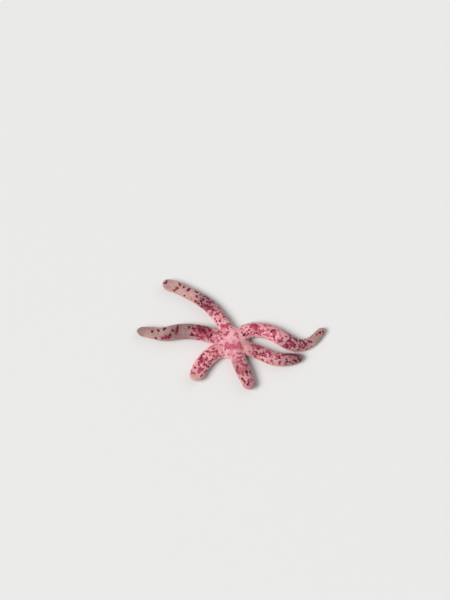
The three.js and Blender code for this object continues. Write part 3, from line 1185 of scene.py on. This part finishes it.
def shelve(name, designs, material):
    # puts finished designs on a shelf of their own, out of the scene
    shelf = bpy.data.collections.new(name)
    for design in designs:
        smoothAndPaint(design, material)
        places = readAll(design.data.vertices, "co", 3).reshape(-1, 3)
        patch = places / abs(places[:, :2]).max() / 2  # each corner's place across the design
        patch[:, 2] = 0
        storeReading(design.data, "patch", patch)
        for collection in list(design.users_collection):
            collection.objects.unlink(design)
        shelf.objects.link(design)
    return shelf


def plateDesigns():
    for i in range(plateDesign["count"]):
        yield makePlateDesign(f"plate_{i}")
    yield makeSeed("plate_spare")  # a granule for the skin between plates


# The coat: points that carry their readings, each grown into a design

coat = {
    "patchSide": 0.003,  # of the sheet
    "spent": ("facing", "along", "size", "kind", "spot", "patch"),  # once the designs stand
}


def makeCoatTree(name, shelf):
    # sets a design on every point, turned to face along its normal and along its arm
    tree = bpy.data.node_groups.new(name, "GeometryNodeTree")
    for way in ("INPUT", "OUTPUT"):
        tree.interface.new_socket("Geometry", in_out=way, socket_type="NodeSocketGeometry")
    points = addNode(tree, "NodeGroupInput").outputs[0]

    def reading(label, kind="FLOAT_VECTOR"):
        node = addNode(tree, "GeometryNodeInputNamedAttribute", {"Name": label}, data_type=kind)
        return node.outputs["Attribute"]

    designs = addNode(tree, "GeometryNodeCollectionInfo",
                      {"Collection": shelf, "Separate Children": True, "Reset Children": True})
    upright = addNode(tree, "FunctionNodeAlignRotationToVector", {"Vector": reading("facing")}, axis="Z")
    turned = addNode(tree, "FunctionNodeAlignRotationToVector",
                     {"Rotation": upright.outputs[0], "Vector": reading("along")},
                     axis="X", pivot_axis="Z")
    placed = addNode(tree, "GeometryNodeInstanceOnPoints", {
        "Points": points, "Instance": designs.outputs[0], "Pick Instance": True,
        "Instance Index": reading("kind", "INT"), "Rotation": turned.outputs[0],
        "Scale": reading("size"),
    })
    real = addNode(tree, "GeometryNodeRealizeInstances", {"Geometry": placed.outputs[0]})
    patch = addNode(tree, "ShaderNodeVectorMath",
                    {0: reading("patch"), "Scale": coat["patchSide"]}, operation="SCALE")
    spot = addNode(tree, "ShaderNodeVectorMath",
                   {0: patch.outputs[0], 1: reading("spot")}, operation="ADD")
    stored = addNode(tree, "GeometryNodeStoreNamedAttribute", {
        "Geometry": real.outputs[0], "Name": "OFBake", "Value": spot.outputs[0],
    }, data_type="FLOAT2", domain="CORNER")
    addNode(tree, "NodeGroupOutput", {0: stored.outputs[0]})
    return tree


def growCoat(name, tree, rows):
    # rows holds one list for each reading; the points become one mesh of realized designs
    places = rows.pop("place")
    near = readPlaces(places)
    rows["spot"] = [(u, v, 0) for u, v in unwrap(near, near)]
    mesh = bpy.data.meshes.new(name)
    mesh.from_pydata([tuple(place) for place in places], [], [])
    for label, values in rows.items():
        storeReading(mesh, label, values)
    piece = addPiece(name, mesh)
    shapeBy(piece, "NODES", node_group=tree)
    for label in coat["spent"]:
        piece.data.attributes.remove(piece.data.attributes[label])
    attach(piece, "root")
    triangles = sum(len(face.vertices) - 2 for face in piece.data.polygons)
    print(name, "grown on", len(places), "points,", triangles, "triangles")


def pushRow(rows, **values):
    for name, value in values.items():
        rows.setdefault(name, []).append(value)


grains = {
    "spacing": 0.28,
    "radius": (0.1, 0.155),
    "trials": 90000,
    "clearShare": 0.9,  # of a plate's radius that they keep clear of
}
plateFit = {
    "floorRoom": 0.03,
    "rimReach": 1.1,  # how far a tilted plate's rim reaches down, in radii
    "rimRise": 0.4,  # how far its rim stands out from the skin
    "length": (1, 1.15),
    "breadth": (0.9, 1),
    "height": 0.9,
}


def placeGrains():
    # granules on the skin between the plates, each with the number of its nearest plate
    crowd, placed = Crowd(cell=grains["spacing"]), []
    for place, along, across, arm in withArms(randomPlaces(grains["trials"], 8)):
        found, i, distance = plateTree.find(place)
        if distance < plateRadii[i] * grains["clearShare"] * mm:
            continue
        if crowd.isFree(place, grains["spacing"] * mm) and not isBare(place, along, across, arm):
            crowd.add(place)
            placed.append((place, i))
    return placed


def pieceOf(place):
    near = readPlaces([place])
    return "disc" if near["reach"][0] < sheet["discReach"] else armNames[near["arm"][0]]


def fitRadius(place, normal, radius):
    # smaller where a plate on the sole's edge would reach through the floor
    tilt = math.sqrt(max(0, 1 - normal.z ** 2))
    fall = radius * (plateFit["rimReach"] * tilt - plateFit["rimRise"] * normal.z)
    room = place.z - plateFit["floorRoom"] * mm
    return radius * room / fall if fall > room else radius


def makePlates():
    tree = makeCoatTree("coatOfPlates", shelve("plateDesigns", plateDesigns(), plateMaterial))
    groups = {name: {} for name in ["disc", *armNames]}
    for i, (place, normal) in enumerate(plates):
        radius = fitRadius(place, normal, plateRadii[i] * mm)
        turn = dice.uniform(0, 2 * math.pi)
        length, breadth = dice.uniform(*plateFit["length"]), dice.uniform(*plateFit["breadth"])
        pushRow(groups[pieceOf(place)], place=place, facing=normal,
                along=(math.cos(turn), math.sin(turn), 0),
                size=(radius * length, radius * breadth, radius * plateFit["height"]),
                redness=plateRedness[i], beige=plateBeige[i], shade=plateShade[i],
                kind=dice.randrange(plateDesign["count"]))
    placed = placeGrains()
    redness = rednessAt(np.array([place for place, i in placed]))
    for (place, i), tone in zip(placed, redness):
        radius = dice.uniform(*grains["radius"]) * mm
        pushRow(groups[pieceOf(place)], place=place, facing=surface.find_nearest(place)[1],
                along=(1, 0, 0), size=(radius, radius, radius), redness=tone,
                beige=plateBeige[i], shade=plateShade[i], kind=plateDesign["count"])
    for name, rows in groups.items():
        growCoat("plates_" + name, tree, rows)


makePlates()


# The sole: tube feet in the furrows, spines and pegs along their lips, spines round the mouth

sole = {
    "footSpacing": 0.95,
    "footAside": 0.36,
    "footStagger": 0.25,  # of the spacing, between an arm's two rows
    "footGirth": 0.26,
    "footStart": 4.4,
    "footCast": 0.3,  # the height that the furrow's roof is looked for from
    "footLean": 0.22,
    "footLength": (0.72, 0.93),
    "feetShort": 3.2,  # of the arm's end, left without feet
    "floorRoom": 0.06,
    "lipStart": 3.6,
    "lipShort": 2.6,
    "lipSway": 0.15,
    "shades": (0.9, 1.08),
    "jawSpines": 4,
    "jawAngle": 8,  # between two spines
    "jawHeights": (0.5, 1.0),
    "jawReach": 3,
    "jawDip": 0.12,
    "jawSize": (0.22, 0.17, 0.75),
}
lipRows = [
    {"spacing": 0.66, "aside": 1.36, "height": 0.8, "size": (0.2, 0.15, 0.75), "lean": 0.95},
    {"spacing": 0.72, "aside": 1.72, "height": 0.5, "size": (0.27, 0.23, 0.42), "lean": 0},
]


def pushSpine(rows, place, facing, along, size, beige):
    pushRow(rows, place=place, facing=facing.normalized(), along=along, size=Vector(size) * mm,
            redness=0, beige=beige, shade=dice.uniform(*sole["shades"]), kind=0)


def makeFootRows():
    rows = {}
    for arm in arms.values():
        steps = int((lengthOf(arm) - sole["footStart"] - sole["feetShort"]) / sole["footSpacing"])
        for side in (-1, 1):
            for i in range(steps):
                along = sole["footStart"] + (i + sole["footStagger"] * side) * sole["footSpacing"]
                girth = girthAt(arm, along)
                lift = liftAt(arm, along)
                origin = armPoint(arm, along, side * sole["footAside"] * girth, lift + sole["footCast"])
                root, normal, face, distance = surface.ray_cast(origin, -down)
                if root is None:
                    continue
                lean = Vector((dice.uniform(-1, 1), dice.uniform(-1, 1), 0)) * sole["footLean"]
                length = root.z / mm - lift * 0.5 - sole["floorRoom"]
                length *= dice.uniform(*sole["footLength"])
                girth *= sole["footGirth"]
                pushSpine(rows, root, lean + down, headingAt(arm, along), (girth, girth, length), 0.5)
    return rows


def makeSpineRows():
    rows = {}
    for arm in arms.values():
        for side in (-1, 1):
            for row in lipRows:
                reach = lengthOf(arm) - sole["lipShort"] - sole["lipStart"]
                for i in range(int(reach / row["spacing"])):
                    along = sole["lipStart"] + i * row["spacing"]
                    heading = headingAt(arm, along)
                    facing = down - leftAt(arm, along) * side * row["lean"]
                    facing += heading * dice.uniform(-sole["lipSway"], sole["lipSway"])
                    place = armPoint(arm, along, side * row["aside"] * girthAt(arm, along),
                                     row["height"] + liftAt(arm, along))
                    pushSpine(rows, place, facing, heading, row["size"], 0.8)
    headings = sorted(arm["heading"] % 360 for arm in arms.values())
    for start, end in zip(headings, headings[1:] + [headings[0] + 360]):
        jaw = (start + end) / 2
        inward = -Vector((math.cos(math.radians(jaw)), math.sin(math.radians(jaw)), 0))
        for height in sole["jawHeights"]:
            for i in range(sole["jawSpines"]):
                angle = math.radians(jaw + (i - (sole["jawSpines"] - 1) / 2) * sole["jawAngle"])
                outward = Vector((math.cos(angle), math.sin(angle), 0))
                place = discCentre + (outward * sole["jawReach"] + Vector((0, 0, height))) * mm
                facing = inward + Vector((0, 0, -sole["jawDip"]))
                pushSpine(rows, place, facing, outward, sole["jawSize"], 0.7)
    return rows


foot = makeDome("foot", 7, [(0.9, -0.15), (0.75, 0.3), (0.7, 0.8), (1.1, 0.88), (1.05, 0.98)], 0.94)
footTree = makeCoatTree("coatOfFeet", shelve("footDesigns", [foot], footMaterial))
spine = makeDome("spine", 6, [(0.9, -0.3), (1, 0.3), (0.85, 0.8)], 1)
spineTree = makeCoatTree("coatOfSpines", shelve("spineDesigns", [spine], plateMaterial))
growCoat("tube_feet", footTree, makeFootRows())
growCoat("furrow_spines", spineTree, makeSpineRows())


# Single plates: the plate at each arm's end, the two sieve plates and the skin round the mouth

ownPlates = {
    "sink": 0.1,  # under the skin
    "rimHeight": -0.25,  # the lowest that grooves are sunk
    "tip": {
        "sides": 14,
        "rings": [(1, -0.5), (1.02, 0), (0.86, 0.45), (0.5, 0.82)],
        "crown": 0.9,
        "size": (0.95, 0.9, 0.42),
        "knobs": [(1, 0, 0.2), (5, 0.5, 0.16), (7, 0.86, 0.13)],  # count, way out and radius
        "knobSink": 0.05,
    },
    "sieve": {
        "sides": 52,
        "rings": [(1.05, -0.3), (1.1, 0.05), (0.98, 0.26), (0.75, 0.36), (0.5, 0.4), (0.25, 0.4)],
        "crown": 0.38,
        "size": (1, 1, 0.65),
        "groove": (0.26, 0.2, 1.02),  # depth, and the radii that it runs between
        "lumps": 0.16,  # unevenness of its outline and face
        "lumpSize": 0.5,
    },
    "mouth": {
        "sides": 36,
        "rings": [(1.95, 0), (1.9, 0.35), (1.5, 0.45), (1.05, 0.4), (0.65, 0.22), (0.32, -0.1)],
        "crown": -0.2,
        "size": (1, 1, 1),
        "groove": (0.08, 0.3, 1.6),
    },
}


def foldSpokes(piece, sides, depth, lowest, highest):
    # sinks every other spoke between two radii, for radiating grooves
    def isOnSpoke(place):
        radius = math.hypot(place.x, place.y)
        spoke = round(math.atan2(place.y, place.x) / (2 * math.pi) * sides)
        return lowest < radius < highest and spoke % 2 == 0 and place.z > ownPlates["rimHeight"]

    moveVertices(piece, isOnSpoke, down * depth)


def makeOwn(kind):
    # a design of its own, facing up and one unit in radius
    own = ownPlates[kind]
    piece = makeDome(kind, own["sides"], own["rings"], own["crown"])
    if "groove" in own:
        foldSpokes(piece, own["sides"], *own["groove"])
    return piece


def standPiece(piece, place, facing, size, name, material, slot, node):
    # turns a design to its facing, sets it in place and lets it stand for its node
    piece.name = name
    piece.data.name = name
    piece.scale = tuple(side * mm for side in size)
    piece.rotation_euler = facing.to_track_quat("Z", "Y").to_euler()
    piece.location = place
    settle(piece)
    shapeBy(piece, "SUBSURF", levels=1, render_levels=1)
    smoothAndPaint(piece, material)
    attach(piece, "root")
    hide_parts(node)


def onSkin(node):
    # the place on the skin over a node's middle, a little sunk, and the skin's normal
    place, normal, face, distance = surface.find_nearest(middleOf(node))
    return place - normal * ownPlates["sink"] * mm, normal


def makeTipPlates():
    own = ownPlates["tip"]
    for name in armNames:
        parts = [makeOwn("tip")]
        for count, wayOut, radius in own["knobs"]:
            height = own["crown"] * math.sqrt(1 - wayOut ** 2) - own["knobSink"]
            for i in range(count):
                parts.append(makeGranule(radius, wayOut, 2 * math.pi * i / count, height))
        node = "terminal_plate_" + name
        tip = joinAll(parts, node)
        standPiece(tip, *onSkin(node), own["size"],
                   "tip_plate_" + name, chalkMaterial, "pale_plates", node)
        markPiece(tip)


def makeSievePlates():
    own = ownPlates["sieve"]
    lumps = bpy.data.textures.new("sieveLumps", "CLOUDS")
    lumps.noise_scale = own["lumpSize"] * mm
    for i in (1, 2):
        node = f"madreporite_{i}"
        sieve = makeOwn("sieve")
        standPiece(sieve, *onSkin(node), own["size"],
                   f"sieve_plate_{i}", chalkMaterial, "pale_plates", node)
        shapeBy(sieve, "DISPLACE", texture=lumps, texture_coords="LOCAL", mid_level=0.5,
                strength=own["lumps"] * mm)
        markPiece(sieve, 0.6, 0.3)


def makeMouthSkin():
    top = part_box("peristome")[1].z
    standPiece(makeOwn("mouth"), Vector((discCentre.x, discCentre.y, top)), down,
               ownPlates["mouth"]["size"], "mouth_skin", membraneMaterial, "mouth_membrane",
               "peristome")


makeTipPlates()
makeSievePlates()
makeMouthSkin()
print("single plates made")

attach(skin, "root")
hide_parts(*skinNodes)
